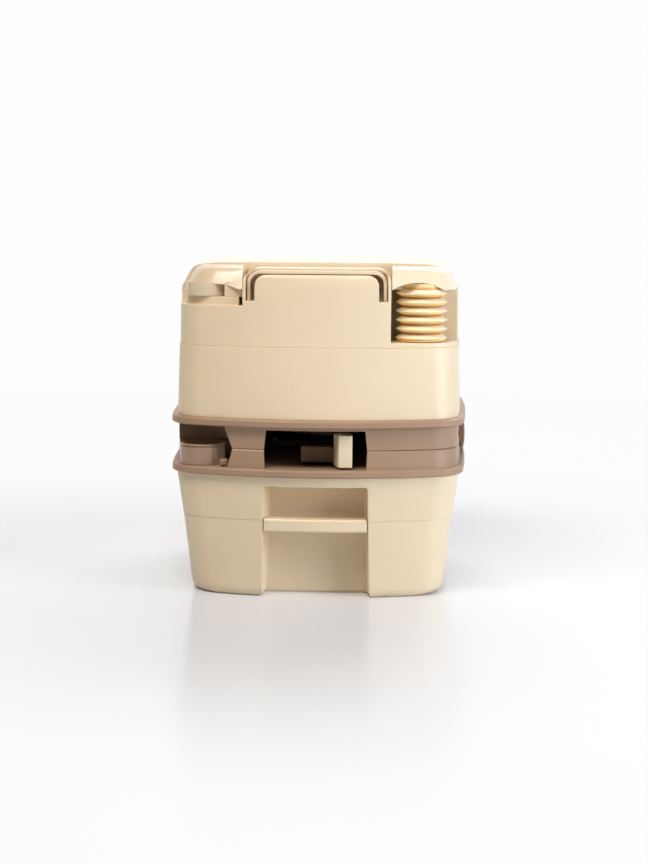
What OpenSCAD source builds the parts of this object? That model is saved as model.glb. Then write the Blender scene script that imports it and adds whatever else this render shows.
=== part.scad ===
/* [Overall form] */
// Width over the two brown flanges
flange_w = 370; // [350:1:380]
// Depth over the two brown flanges
flange_d = 415; // [402:1:430]
// Radius of the bow in the front and back faces
bow_r = 430; // [400:5:520]
// Radius of the nearly flat side faces
side_r = 1600; // [1200:50:2400]
// Radius of the upright corners
corner_r = 45; // [40:1:50]
// Wall of the moulded shells
wall_t = 3.2; // [2.6:0.1:4]
// Gap between pieces that move past each other
move_gap = 0.6; // [0.4:0.1:1]
// Gap between pieces that only rest near each other
rest_gap = 0.3; // [0.2:0.05:0.5]
// Radial play of a pin in its bore
pin_play = 0.05; // [0.02:0.01:0.1]

/* [Waste tank] */
// Height of the cream waste tank
tank_h = 152; // [140:1:165]
// How far the tank's foot is drawn in from the flange
foot_inset = 31.5; // [26:0.5:34]
// How far the tank is drawn in above its rounded foot
foot_top_inset = 23; // [18:0.5:25]
// How far the tank's mouth is drawn in from the flange
mouth_inset = 5.5; // [4:0.5:8]
// Height of the rounded foot
foot_h = 12; // [9:0.5:16]
// Height of the moulding line round the tank
seam_h = 97; // [90:1:104]
// Height of the hand recess in the tank's front
recess_h = 140; // [130:1:142]
// Width of the hand recess at the front, at its top
recess_w = 126; // [116:1:130]
// Width of the hand recess at its back wall, at its top
recess_back_w = 112; // [100:1:114]
// How much each side of the recess widens downward, for each unit of height
recess_draft = 0.04; // [0.02:0.005:0.05]
// Height of the bevel round the recess's foot
recess_foot_h = 5; // [3:0.5:7]
// Depth of the bevel round the recess's foot
recess_foot_d = 3; // [2:0.25:3.5]
// Depth of the hand recess
recess_d = 45; // [38:1:55]
// Radius of the recess's upper corners
recess_r = 4; // [2:0.5:8]

/* [Tank handle] */
// Height of the carrying bar's underside
bar_z = 83.5; // [77:0.5:88]
// Height of the carrying bar
bar_h = 15.5; // [13:0.5:18]
// Depth of the carrying bar
bar_d = 20; // [16:0.5:23]
// How far the bar lies behind the tank's front
bar_set_back = 1; // [0.5:0.25:3]
// Bevel on the bar's long edges
bar_bevel = 1.6; // [0.8:0.2:2.4]
// Gap between the bar's ends and the recess's sides
bar_end_gap = 1.3; // [1:0.1:2]
// Height of the tongue at each end of the bar
end_tongue_h = 10; // [8:0.5:11]
// Depth of the tongue at each end of the bar
end_tongue_d = 12; // [9:0.5:14]

/* [Brown mouldings] */
// Height of the lower flange
low_flange_h = 9; // [7:0.5:11]
// Height of the band on the lower flange
low_band_h = 23; // [20:0.5:26]
// Gap at the line where the two halves part
split_gap = 0.6; // [0.4:0.1:1]
// Height of the band under the upper flange
high_band_h = 27; // [24:0.5:30]
// Height of the upper flange
high_flange_h = 9.4; // [8:0.2:11]
// How far the bands are drawn in from the flanges
band_inset = 7.5; // [6.8:0.1:8.4]
// Half width of the window between the bands
window_half = 61; // [56:0.5:64]
// Radius of the window's upper corners
window_r = 4; // [2:0.5:6]
// Thickness of the deck that closes the waste tank
deck_t = 4.5; // [3.5:0.5:6]

/* [Emptying spout] */
// Outer radius of the spout cap
spout_cap_r = 28; // [26:0.5:29.5]
// Height of the spout cap
spout_cap_h = 25.4; // [23:0.2:26.2]
// Distance of the spout from the flange's left side
spout_side = 44; // [43:0.5:47]
// Distance of the spout behind the flange's front
spout_set_back = 59.5; // [58.5:0.5:62.5]
// Depth of the groove under the spout cap's rim
cap_groove_d = 1.2; // [0.6:0.1:1.6]
// Inner radius of the spout
spout_bore_r = 20; // [17:0.5:21]
// Wall of the spout
spout_t = 4; // [3:0.25:5]
// Height of the spout
spout_h = 17; // [14:0.5:18]
// Space between the spout's centre and the wall behind it
spout_bay_r = 45.5; // [44:0.5:47]
// How far that wall comes forward of the spout's centre
bay_reach = 8; // [4:0.5:12]

/* [Release button] */
// Distance of the button behind the front edge
button_set_back = 16; // [15.5:0.5:17]
// Radius of the button's head
button_r = 5; // [4:0.25:5.5]
// Radius of the button's stem
button_stem_r = 2.5; // [2:0.1:3]
// Travel of the button
button_travel = 2.4; // [2:0.1:3]
// Height of the button's head
button_h = 6.4; // [5:0.2:8]

/* [Slide valve] */
// Radius of the outlet through the valve
outlet_r = 42.5; // [38:0.5:44]
// How far the outlet lies in front of the bowl's middle
outlet_shift = 14; // [10:0.5:18]
// Thickness of the blade
blade_t = 3.5; // [3:0.25:4.5]
// Overlap of the blade past the outlet
blade_lap = 10; // [8:0.5:12]
// Height of the valve housing
valve_h = 16; // [14:0.5:17]
// Travel of the blade when it is pulled out
blade_travel = 100; // [96:1:104]
// Width of the pull
grip_w = 17; // [14:0.5:20]
// Depth of the pull
grip_d = 23; // [18:0.5:26]
// Height of the pull
grip_h = 38.6; // [34:0.2:41]
// Distance of the pull to the right of the middle
grip_x = 35.5; // [32:0.5:38]
// Width of the foot that joins the pull to the tongue
rod_w = 11; // [9:0.5:14]
// Half width of the tongue that joins the pull to the blade
tongue_half = 19; // [16:0.5:22]
// Depth of the tongue's raised front
tongue_d = 16; // [12:0.5:18]
// Height of the tongue's raised front above the blade's underside
tongue_h = 18.5; // [16:0.5:18.5]
// How far the tongue lies behind the pull
tongue_set_back = 8; // [6:0.5:10]
// How far the valve housing reaches in front of the closed blade
valve_nose = 19.5; // [14:0.5:24]

/* [Side latches] */
// Length of each latch along the side
latch_len = 56; // [44:1:70]
// Height of each latch
latch_h = 42; // [40:0.5:44]
// Radius of the latch pins
latch_pin_r = 1.6; // [1.4:0.1:1.8]
// Radius of the barrel at each latch's foot
latch_barrel_r = 3.2; // [2.8:0.1:3.5]

/* [Flush tank] */
// Height of the flush tank's wall
shell_h = 154; // [146:1:162]
// Height of the step line round the flush tank
step_h = 86; // [78:1:92]
// How far the wall is drawn in at its foot
shell_foot_inset = 7; // [6.4:0.2:7.6]
// How far the wall is drawn in at the step line
shell_step_inset = 9.9; // [9:0.1:10.4]
// How far the wall is drawn in at its top
shell_top_inset = 11.5; // [11.2:0.1:12.4]
// Rise of the lid's crown above the wall
crown_h = 30; // [26:0.5:33]
// Depth of the deck under the seat below the wall's top
seat_deck_d = 15; // [14.6:0.1:16]
// Depth of the front zone behind the flange's front
zone_depth = 93.5; // [92.5:0.5:95.5]
// Width of each open corner beside the front block
corner_w = 96.5; // [95:0.25:97.5]
// Rise of the block's front plate above the wall
plate_rise = 18; // [15:0.5:20]
// How far the front plate is drawn in from the block's sides
plate_inset = 14.5; // [12:0.5:16]
// Corner radius of the block's front plate
plate_r = 13.5; // [11:0.5:16]
// Rise of the block behind the strap above the wall
housing_rise = 25; // [23.5:0.5:26]

/* [Strap handle] */
// How far the strap is drawn in from the block's sides
strap_inset = 5.2; // [4.6:0.1:6]
// Thickness of the strap
strap_t = 3.8; // [3.2:0.1:4.6]
// Gap between the strap's legs and the cheeks beside them
strap_gap = 1.4; // [1:0.1:1.8]
// Depth of the strap's seat in the housing behind it
strap_seat_d = 2; // [1:0.25:3]
// Width of the strap from front to back
strap_w = 22; // [18:0.5:24]
// Corner radius of the strap
strap_r = 15; // [13:0.5:18]
// Distance of the strap behind the flange's front
strap_set_back = 27.5; // [27:0.5:30]
// Length of the legs below the seat deck
leg_len = 24; // [22:0.5:26]
// Travel of the strap when it is lifted
strap_travel = 19; // [16:0.5:20]
// Size of the stop nibs on the legs
nib = 2; // [1.5:0.25:2.5]

/* [Filler] */
// Depth of the filler shelf below the wall's top
shelf_d = 19; // [18:0.5:21]
// Height of the raised pad on the filler shelf
pad_h = 10; // [8:0.5:11]
// Distance of the filler from the flange's left side
filler_side = 52; // [51:0.5:56]
// Distance of the filler behind the flange's front
filler_set_back = 63.5; // [62.5:0.5:64.5]
// Outer radius of the filler neck
neck_r = 22.5; // [20:0.5:23]
// Wall of the filler neck
neck_t = 3; // [2.5:0.25:4]
// Height of the filler neck above its pad
neck_h = 7; // [6:0.5:8]

/* [Pump] */
// Depth of the pump well below the wall's top
well_d = 62; // [58:1:66]
// Distance of the pump from the flange's right side
pump_side = 60; // [58:0.5:61]
// Distance of the pump behind the flange's front
pump_set_back = 60.5; // [59.5:0.5:61]
// Radius at the tips of the bellows
bellows_tip_r = 31; // [28:0.5:31.5]
// Radius at the roots of the bellows
bellows_root_r = 24; // [21:0.5:26]
// Number of folds in the bellows
folds = 6; // [4:1:8]
// Wall of the bellows
bellows_t = 1.6; // [1.2:0.2:2]
// Travel of the pump cap
pump_travel = 28; // [20:1:30]
// Outer radius of the spigot under the pump's foot
spigot_r = 5.6; // [5.2:0.1:6]
// Radius of the bore through the spigot
spigot_bore_r = 4; // [3.4:0.1:4.4]
// Length of the spigot
spigot_l = 16; // [14:0.5:18]
// Radius of the arch in the front edge of the two corner caps
notch_r = 60; // [50:1:80]
// Rise of the arch in the pump cap
pump_notch = 9; // [6:0.5:12]
// Rise of the arch in the filler cap
filler_notch = 5.5; // [4:0.5:8]
// How far the filler cap is drawn in from the wall's top
filler_cap_inset = 5; // [3:0.5:6]
// Distance of the arches from the flange's sides
notch_side = 65; // [62:0.5:68]
// Depth of the arches behind the flange's front
notch_depth = 47.5; // [40:0.5:50]

/* [Seat and lid] */
// How far the seat laps over the bowl's rim at the sides
seat_side_lap = 20; // [16:1:26]
// How far the seat laps over the bowl's rim at the ends
seat_end_lap = 18; // [14:1:26]
// Thickness of the seat
seat_t = 13; // [11:0.5:14]
// Height of the bumpers under the seat
bumper_h = 6; // [5.4:0.2:7]
// Distance of the hinge in front of the flange's back
hinge_set_back = 31.5; // [30.5:0.5:33.5]
// Rise of the hinge above the wall's top
hinge_rise = 16; // [15:0.5:17]
// Radius of the hinge barrels
barrel_r = 5.5; // [5:0.25:6]
// Radius of the hinge pins
hinge_pin_r = 2.5; // [2:0.25:3]
// Distance of the inner hinge ear from the middle
hinge_x = 46; // [38:1:48]
// Width of a hinge ear
ear_w = 10; // [8:0.5:12]
// Width of a hinge barrel
barrel_w = 15; // [12:0.5:17]

/* [Bowl] */
// Space between the bowl's rim and the flange's sides
bowl_side_gap = 75; // [71:0.5:81]
// Space between the bowl's rim and the front zone
bowl_front_gap = 12; // [9:0.5:15]
// Space behind the bowl's rim, where the hinge stands
bowl_back_gap = 57.5; // [54.5:0.5:62]
// Width of the lip round the bowl
lip_w = 6; // [4:0.5:8]
// Wall of the bowl
bowl_t = 3; // [2.4:0.1:3.4]

/* [Hidden] */

cream = [0.93, 0.86, 0.73];
brown = [0.66, 0.53, 0.44];
dark_brown = [0.4, 0.31, 0.25];
rubber = [0.2, 0.2, 0.2];
steel = [0.75, 0.75, 0.77];
side_steps = 3;
corner_steps = 9;
bow_steps = 6;
round_fn = 72;
small_fn = 32;
far = 300;
tiny = 0.05;

deck_z = tank_h + low_flange_h;
split_z = deck_z + low_band_h;
base_z = split_z + split_gap + high_band_h;
shell_z = base_z + high_flange_h;
step_z = shell_z + step_h;
rim_z = shell_z + shell_h;
seat_deck_z = rim_z - seat_deck_d;
shelf_z = rim_z - shelf_d;
well_z = rim_z - well_d;
crown_z = rim_z + crown_h;
plate_z = rim_z + plate_rise;
housing_z = rim_z + housing_rise;
hinge_z = rim_z + hinge_rise;
cap_z = rim_z + rest_gap;
block_half = flange_w / 2 - corner_w;
plate_half = block_half - plate_inset;
strap_half = block_half - strap_inset;
zone_front = -flange_d / 2 + zone_depth;
spout_x = flange_w / 2 - spout_side;
spout_y = flange_d / 2 - spout_set_back;
filler_x = flange_w / 2 - filler_side;
filler_y = flange_d / 2 - filler_set_back;
pump_x = flange_w / 2 - pump_side;
pump_y = flange_d / 2 - pump_set_back;
hinge_y = flange_d / 2 - hinge_set_back;
bowl_half_w = flange_w / 2 - bowl_side_gap;
bowl_half_l = (flange_d - zone_depth - bowl_front_gap - bowl_back_gap) / 2;
seat_half_w = bowl_half_w - seat_side_lap;
seat_half_l = bowl_half_l - seat_end_lap;
seat_y = zone_front + bowl_front_gap + bowl_half_l;
outlet_y = seat_y - outlet_shift;
strap_front = -flange_d / 2 + strap_set_back;
strap_back = strap_front + strap_w;
strap_inner = strap_half - strap_t;
strap_z = plate_z + 1 + strap_t;
groove_half = strap_half + strap_gap;
blade_z = deck_z + 5;
blade_r = outlet_r + blade_lap;
valve_top = deck_z + valve_h;
valve_seal_h = 4;
outlet_z = valve_top + valve_seal_h + rest_gap;
latch_x = flange_w / 2 - 5;
latch_z = deck_z + 4.5;
latch_top = latch_z + latch_h - 2;
seat_z = seat_deck_z + bumper_h;
neck_z = shelf_z + pad_h + neck_h;
spout_top = deck_z + spout_h;
pump_base_h = 4;
bellows_z = well_z + rest_gap;
pad_inset = shell_top_inset + 6;
recess_front = -flange_d / 2 + 12;
mouth_slope = 0.55;
button_x = -spout_x + 29;
button_y = -flange_d / 2 + bow_r - sqrt(bow_r ^ 2 - button_x ^ 2) + button_set_back;
grip_front = -flange_d / 2 + 10.5;
valve_half = blade_r + 11;
valve_front = outlet_y - blade_r - valve_nose;
valve_back = outlet_y + blade_r + 7;
bowl_steps = 40;
bowl_rings = 6;
tube_r = 4.5;
tube_low = 14;
nozzle_d = 20;
nozzle_y = -20;
first_tip = well_z + 3.5;
last_tip = rim_z - 5;
bellows_top = rim_z;
bay_side = spout_x - 30;
window_depth = 57.5;
step_ledge = 0.5;
crown_levels = [
    [0, 0, corner_r],
    [crown_h * 0.57, 9, corner_r],
    [crown_h * 0.78, 13.5, corner_r],
    [crown_h * 0.9, 21, corner_r],
    [crown_h * 0.97, 38, corner_r],
    [crown_h, 72, corner_r]];

// Centre of the corner arc that is tangent to the bowed front and the nearly flat side
function corner_mid(w, d, r) =
    let (
        bow_mid = [0, d - bow_r],
        side_mid = [w - side_r, 0],
        bow_reach = bow_r - r,
        side_reach = side_r - r,
        span = norm(side_mid - bow_mid),
        way = (side_mid - bow_mid) / span,
        along = (bow_reach ^ 2 - side_reach ^ 2 + span ^ 2) / (2 * span),
        across = sqrt(bow_reach ^ 2 - along ^ 2)
    )
    bow_mid + along * way + across * [way[1], -way[0]];

function on_circle(mid, r, angle) = mid + r * [cos(angle), sin(angle)];

// One quarter of the plan, from the middle of the side to the middle of the back
function quarter(w, d, r) =
    let (
        mid = corner_mid(w, d, r),
        bow_mid = [0, d - bow_r],
        side_mid = [w - side_r, 0],
        low = atan2(mid[1] - side_mid[1], mid[0] - side_mid[0]),
        high = atan2(mid[1] - bow_mid[1], mid[0] - bow_mid[0])
    )
    concat(
        [for (i = [0:side_steps - 1]) on_circle(side_mid, side_r, low * i / side_steps)],
        [for (i = [0:corner_steps - 1]) on_circle(mid, r, low + (high - low) * i / corner_steps)],
        [for (i = [0:bow_steps]) on_circle(bow_mid, bow_r, high + (90 - high) * i / bow_steps)]
    );

// The whole plan, drawn in from the flange's outline by inset
function outline(inset, r = corner_r) =
    let (
        q = quarter(flange_w / 2 - inset, flange_d / 2 - inset, r),
        n = len(q) - 1
    )
    concat(
        [for (i = [0:n - 1]) q[i]],
        [for (i = [n:-1:1]) [-q[i][0], q[i][1]]],
        [for (i = [0:n - 1]) [-q[i][0], -q[i][1]]],
        [for (i = [n:-1:1]) [q[i][0], -q[i][1]]]
    );

function lift(points, z) = [for (p = points) [p[0], p[1], z]];

function oval(a, b, y, steps) = [for (i = [0:steps - 1]) [a * cos(360 * i / steps), y + b * sin(360 * i / steps)]];

// A closed skin through rings of points that all have the same count
module skin(rings) {
    n = len(rings[0]);
    m = len(rings);
    points = [for (ring = rings) for (p = ring) p];
    walls = [for (i = [0:m - 2]) for (j = [0:n - 1])
        [i * n + j, (i + 1) * n + j, (i + 1) * n + (j + 1) % n, i * n + (j + 1) % n]];
    foot = [[for (j = [0:n - 1]) j]];
    head = [[for (j = [n - 1:-1:0]) (m - 1) * n + j]];
    polyhedron(points, concat(foot, walls, head), convexity = 8);
}

module loft(levels) {
    skin([for (v = levels) lift(outline(v[1], v[2]), v[0])]);
}

module plan_prism(inset, low, high) {
    translate([0, 0, low])
        linear_extrude(high - low)
            polygon(outline(inset));
}

module box(low, high) {
    translate(low)
        cube(high - low);
}

module along_y(from, depth) {
    translate([0, from + depth, 0])
        rotate([90, 0, 0])
            linear_extrude(depth)
                children();
}

module along_x(from, width) {
    translate([from, 0, 0])
        rotate([90, 0, 90])
            linear_extrude(width)
                children();
}

module ring(outer, inner, low, high) {
    translate([0, 0, low])
        difference() {
            cylinder(r = outer, h = high - low, $fn = round_fn);
            translate([0, 0, -1])
                cylinder(r = inner, h = high - low + 2, $fn = round_fn);
        }
}

// A flat shape with two rounded upper corners
module arch(half, low, high, r) {
    translate([-half, low])
        square([2 * half, high - r - low]);
    translate([-half + r, low])
        square([2 * half - 2 * r, high - low]);
    for (side = [-1, 1])
        translate([side * (half - r), high - r])
            circle(r = r, $fn = round_fn);
}

module at_spout() {
    translate([-spout_x, -spout_y, 0])
        children();
}

module at_pump() {
    translate([pump_x, -pump_y, 0])
        children();
}

module at_filler() {
    translate([-filler_x, -filler_y, 0])
        children();
}

// Plan of the hand recess at height z, grown by more on every side
function recess_plan(more, z) =
    let (
        reach = 25,
        back = recess_front + recess_d,
        slope = (recess_w - recess_back_w) / 2 / recess_d,
        wider = recess_draft * (recess_h - z) + more
    )
    [
        [-recess_w / 2 - reach * slope - wider, recess_front - reach],
        [recess_w / 2 + reach * slope + wider, recess_front - reach],
        [recess_back_w / 2 + wider, back + more],
        [-recess_back_w / 2 - wider, back + more]];

module recess(more) {
    high = recess_h + more;
    intersection() {
        skin([lift(recess_plan(more, -1), -1), lift(recess_plan(more, high), high)]);
        along_y(-flange_d, flange_d) {
            arch(recess_w / 2 + recess_draft * recess_r + more, high - recess_r - 1, high, recess_r);
            translate([-flange_w, -1])
                square([2 * flange_w, high - recess_r + 1]);
        }
    }
}

module waste_tank() {
    inner_low = foot_top_inset + wall_t + 1.5;
    taper = foot_top_inset - mouth_inset;
    round_in = foot_inset - foot_top_inset;
    color(cream)
        difference() {
            loft([
                [0, foot_inset, corner_r],
                [foot_h * 0.25, foot_top_inset + round_in * 0.5, corner_r],
                [foot_h * 0.6, foot_top_inset + round_in * 0.18, corner_r],
                [foot_h, foot_top_inset, corner_r],
                [seam_h, foot_top_inset - taper * mouth_slope, corner_r],
                [seam_h + 0.4, foot_top_inset - taper * mouth_slope - 0.4, corner_r],
                [tank_h, mouth_inset, corner_r]]);
            recess(0);
            skin([
                lift(recess_plan(recess_foot_d * (1 + 1 / recess_foot_h), -1), -1),
                lift(recess_plan(0, recess_foot_h), recess_foot_h)]);
            difference() {
                loft([
                    [wall_t + 1, inner_low, corner_r],
                    [seam_h, inner_low - taper * mouth_slope, corner_r],
                    [tank_h + 1, mouth_inset + wall_t, corner_r]]);
                recess(wall_t);
            }
        }
}

// A bevelled bar that follows the bow of the front
module bowed_bar(face, depth, low, high) {
    difference() {
        loft([
            [low, face + bar_bevel, corner_r],
            [low + bar_bevel, face, corner_r],
            [high - bar_bevel, face, corner_r],
            [high, face + bar_bevel, corner_r]]);
        plan_prism(face + depth, low - 1, high + 1);
    }
}

module tank_handle() {
    face = foot_top_inset - (foot_top_inset - mouth_inset) * mouth_slope + bar_set_back;
    tongue_z = bar_z + (bar_h - end_tongue_h) / 2;
    color(cream) {
        intersection() {
            bowed_bar(face, bar_d, bar_z, bar_z + bar_h);
            recess(-bar_end_gap);
        }
        intersection() {
            bowed_bar(face + (bar_d - end_tongue_d) / 2, end_tongue_d, tongue_z, tongue_z + end_tongue_h);
            recess(-0.2);
        }
    }
}

// The round bay behind the spout, cut from the bands
module spout_bay(low, high) {
    at_spout()
        translate([0, 0, low])
            cylinder(r = spout_bay_r, h = high - low, $fn = round_fn);
    along_y(-flange_d, flange_d - spout_y)
        polygon([
            [-far, low],
            [-bay_side + 4, low],
            [-bay_side + 10.5, split_z],
            [-bay_side, base_z],
            [-bay_side, high],
            [-far, high]]);
}

module bay_wall(inset, low, high) {
    intersection() {
        at_spout()
            ring(spout_bay_r + wall_t, spout_bay_r, low, high);
        plan_prism(inset + 0.5, low, high);
        box([-far, -spout_y - bay_reach, low], [far, far, high]);
    }
}

module window_cut() {
    along_y(-flange_d, flange_d / 2 + window_depth)
        intersection() {
            arch(window_half + 1, deck_z, base_z - 3.5, window_r);
            polygon([
                [-window_half, deck_z],
                [window_half, deck_z],
                [window_half + 1, split_z],
                [window_half - 2, base_z],
                [-window_half + 2, base_z],
                [-window_half - 1, split_z]]);
        }
}

module latch_profile() {
    translate([latch_x, latch_z])
        circle(r = latch_barrel_r, $fn = round_fn);
    polygon([
        [latch_x - 1, latch_z],
        [latch_x + latch_barrel_r, latch_z],
        [latch_x + 4.5, latch_z + 8],
        [latch_x + 4.8, latch_z + 20],
        [latch_x + 4.2, latch_z + 32],
        [latch_x + 2.5, latch_top],
        [latch_x - 1.5, latch_top],
        [latch_x - 1.5, latch_top - 3],
        [latch_x + 1, latch_top - 3],
        [latch_x + 2.2, latch_z + 20],
        [latch_x + 1.6, latch_z + 8],
        [latch_x, latch_z + 3]]);
}

module latch() {
    translate([0, latch_len / 2, 0])
        rotate([90, 0, 0])
            difference() {
                linear_extrude(latch_len)
                    latch_profile();
                translate([latch_x, latch_z, -1])
                    cylinder(r = latch_pin_r + pin_play, h = latch_len + 2, $fn = round_fn);
            }
}

module latch_ears() {
    for (y = [-latch_len / 2 - rest_gap - 4, latch_len / 2 + rest_gap])
        along_y(y, 4)
            difference() {
                union() {
                    translate([latch_x, latch_z])
                        circle(r = 3, $fn = round_fn);
                    translate([latch_x - 3, deck_z - 1])
                        square([6, latch_z - deck_z + 1]);
                }
                translate([latch_x, latch_z])
                    circle(r = latch_pin_r + pin_play, $fn = round_fn);
            }
}

module both_sides() {
    children();
    mirror([1, 0, 0])
        children();
}

module waste_deck() {
    color(brown) {
        difference() {
            union() {
                loft([
                    [tank_h, 1.6, corner_r],
                    [tank_h + 1.4, 0, corner_r],
                    [deck_z - 1.4, 0, corner_r],
                    [deck_z, 1.6, corner_r]]);
                difference() {
                    loft([
                        [deck_z, band_inset - 1, corner_r],
                        [split_z - 1.5, band_inset, corner_r],
                        [split_z, band_inset + 1.2, corner_r]]);
                    plan_prism(band_inset + wall_t, deck_z, split_z + 1);
                    spout_bay(deck_z, split_z + 1);
                    window_cut();
                    both_sides()
                        box([latch_x - latch_barrel_r - move_gap, -latch_len / 2 - 1, deck_z],
                            [far, latch_len / 2 + 1, latch_z + latch_barrel_r + move_gap]);
                }
                bay_wall(band_inset + 1.2, deck_z, split_z);
                at_spout()
                    ring(spout_bore_r + spout_t, spout_bore_r, deck_z - 1, spout_top);
            }
            plan_prism(mouth_inset + wall_t + 2, tank_h - 1, deck_z - deck_t);
            translate([0, outlet_y, 0])
                cylinder(r = outlet_r, h = split_z, $fn = round_fn);
            at_spout()
                cylinder(r = spout_bore_r, h = split_z, $fn = round_fn);
            translate([button_x, button_y, 0])
                cylinder(r = button_stem_r + pin_play, h = split_z, $fn = round_fn);
        }
        both_sides()
            latch_ears();
    }
}

module spout_seal() {
    color(rubber)
        at_spout()
            ring(spout_bore_r + spout_t - 0.5, spout_bore_r, spout_top, spout_top + 2);
}

module valve_body() {
    half = valve_half;
    front = valve_front;
    back = valve_back;
    channel_half = blade_r + move_gap;
    color(dark_brown)
        difference() {
            box([-half, front, deck_z], [half, back, valve_top]);
            box([-channel_half, front - 1, blade_z - 0.4], [channel_half, back - 5, blade_z + blade_t + 0.4]);
            translate([0, outlet_y, 0])
                cylinder(r = outlet_r, h = split_z + 20, $fn = round_fn);
            valve_screw_places()
                cylinder(r = 2.1, h = valve_h + 1, $fn = small_fn);
        }
}

module valve_screw_places() {
    for (x = [-valve_half + 5, valve_half - 5])
        for (y = [valve_front + 8, valve_back - 8])
            translate([x, y, deck_z])
                children();
}

module valve_screws() {
    color(steel)
        valve_screw_places()
            difference() {
                union() {
                    cylinder(r = 2, h = valve_h + 1, $fn = small_fn);
                    translate([0, 0, valve_h])
                        cylinder(r = 4, h = 2.2, $fn = small_fn);
                }
                translate([-2.6, -0.4, valve_h + 1.2])
                    cube([5.2, 0.8, 2]);
                translate([-0.4, -2.6, valve_h + 1.2])
                    cube([0.8, 5.2, 2]);
            }
}

module valve_seal() {
    color(rubber)
        translate([0, outlet_y, 0])
            ring(outlet_r + 5.5, outlet_r, valve_top, valve_top + valve_seal_h);
}

module valve_blade() {
    color(dark_brown)
        translate([0, outlet_y, blade_z])
            linear_extrude(blade_t) {
                circle(r = blade_r, $fn = round_fn);
                translate([-blade_r, -blade_r])
                    square([2 * blade_r, blade_r]);
            }
}

module valve_rod() {
    back = outlet_y - blade_r - tiny;
    front = grip_front + grip_d + tiny;
    face = front + tongue_set_back;
    arm_x = grip_x - grip_w / 2;
    color(brown) {
        box([-tongue_half, face, blade_z], [tongue_half, back, blade_z + blade_t]);
        box([-tongue_half, face, blade_z], [tongue_half, face + tongue_d, blade_z + tongue_h]);
        box([tongue_half - 1, face, blade_z], [grip_x + rod_w / 2, face + tongue_d / 2, blade_z + blade_t]);
        box([tongue_half - 1, face, blade_z + 1], [arm_x, face + tongue_d / 3, blade_z + tongue_h - 2.5]);
        box([grip_x - rod_w / 2, front, blade_z], [grip_x + rod_w / 2, face + tongue_d / 2, blade_z + blade_t]);
    }
}

module valve_grip() {
    low = deck_z + 3;
    high = low + grip_h;
    left = grip_x - grip_w / 2;
    color(cream)
        translate([0, 0, low])
            difference() {
                linear_extrude(grip_h)
                    polygon([
                        [left + 1, grip_front],
                        [left + grip_w - 1, grip_front],
                        [left + grip_w, grip_front + 1],
                        [left + grip_w, grip_front + grip_d],
                        [left - 6, grip_front + grip_d],
                        [left, grip_front + 1]]);
                translate([left + 1.5, grip_front + 3, high - low - 6])
                    cube([grip_w - 3.5, grip_d - 6, 7]);
            }
}

module latch_pins() {
    color(steel)
        both_sides()
            translate([latch_x, latch_len / 2 + rest_gap + 4, latch_z])
                rotate([90, 0, 0])
                    cylinder(r = latch_pin_r, h = latch_len + 2 * rest_gap + 8, $fn = round_fn);
}

module latch_right() {
    color(brown)
        latch();
}

module latch_left() {
    color(brown)
        mirror([1, 0, 0])
            latch();
}

module flush_base() {
    rib_z = latch_top - 3 - rest_gap;
    color(brown) {
        difference() {
            union() {
                loft([
                    [base_z, 1.6, corner_r],
                    [base_z + 1.4, 0, corner_r],
                    [shell_z - 2, 0, corner_r],
                    [shell_z, 2.6, corner_r]]);
                difference() {
                    loft([
                        [split_z + split_gap, band_inset + 0.8, corner_r],
                        [base_z, band_inset - 0.7, corner_r]]);
                    plan_prism(band_inset + wall_t, split_z, base_z + 1);
                    spout_bay(split_z, base_z);
                    window_cut();
                }
                bay_wall(band_inset + 0.8, split_z + split_gap, base_z + 1);
                translate([0, outlet_y, 0])
                    cylinder(r = outlet_r + 9.5, h = base_z + 1, $fn = round_fn);
            }
            plan_prism(shell_foot_inset + wall_t + 2, base_z + 3.5, shell_z + 1);
            translate([0, outlet_y, -1])
                cylinder(r = outlet_r + 6.5, h = shell_z, $fn = round_fn);
            box([-far, -far, -1], [far, far, split_z + split_gap]);
        }
        both_sides()
            translate([flange_w / 2 - band_inset - 1.5, -latch_len / 2 + 4, rib_z - 3])
                cube([4, latch_len - 8, 3]);
    }
}

module bowl_seal() {
    color(rubber)
        translate([0, outlet_y, 0])
            ring(outlet_r + 6.3, outlet_r + bowl_t + 0.2, split_z + 4, split_z + 10);
}

function bowl_ring(t, more) =
    let (
        s = sin(90 * t) ^ 0.9,
        a = outlet_r + (bowl_half_w - bowl_t - outlet_r) * s + more,
        b = outlet_r + (bowl_half_l - bowl_t - outlet_r) * s + more,
        z = base_z + 4 + (seat_deck_z - base_z - 4) * t
    )
    lift(oval(a, b, outlet_y + (seat_y - outlet_y) * s, bowl_steps), z);

module bowl() {
    lip_z = seat_deck_z + 3;
    color(cream)
        difference() {
            skin(concat(
                [lift(oval(outlet_r + bowl_t, outlet_r + bowl_t, outlet_y, bowl_steps), outlet_z)],
                [for (i = [0:bowl_rings]) bowl_ring(i / bowl_rings, bowl_t)],
                [lift(oval(bowl_half_w + lip_w, bowl_half_l + lip_w, seat_y, bowl_steps), seat_deck_z)],
                [lift(oval(bowl_half_w + lip_w, bowl_half_l + lip_w, seat_y, bowl_steps), lip_z - 1)],
                [lift(oval(bowl_half_w + lip_w - 1, bowl_half_l + lip_w - 1, seat_y, bowl_steps), lip_z)]));
            skin(concat(
                [lift(oval(outlet_r, outlet_r, outlet_y, bowl_steps), outlet_z - 1)],
                [for (i = [0:bowl_rings]) bowl_ring(i / bowl_rings, 0)],
                [lift(oval(bowl_half_w - bowl_t, bowl_half_l - bowl_t, seat_y, bowl_steps), lip_z + 1)]));
        }
}

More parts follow.
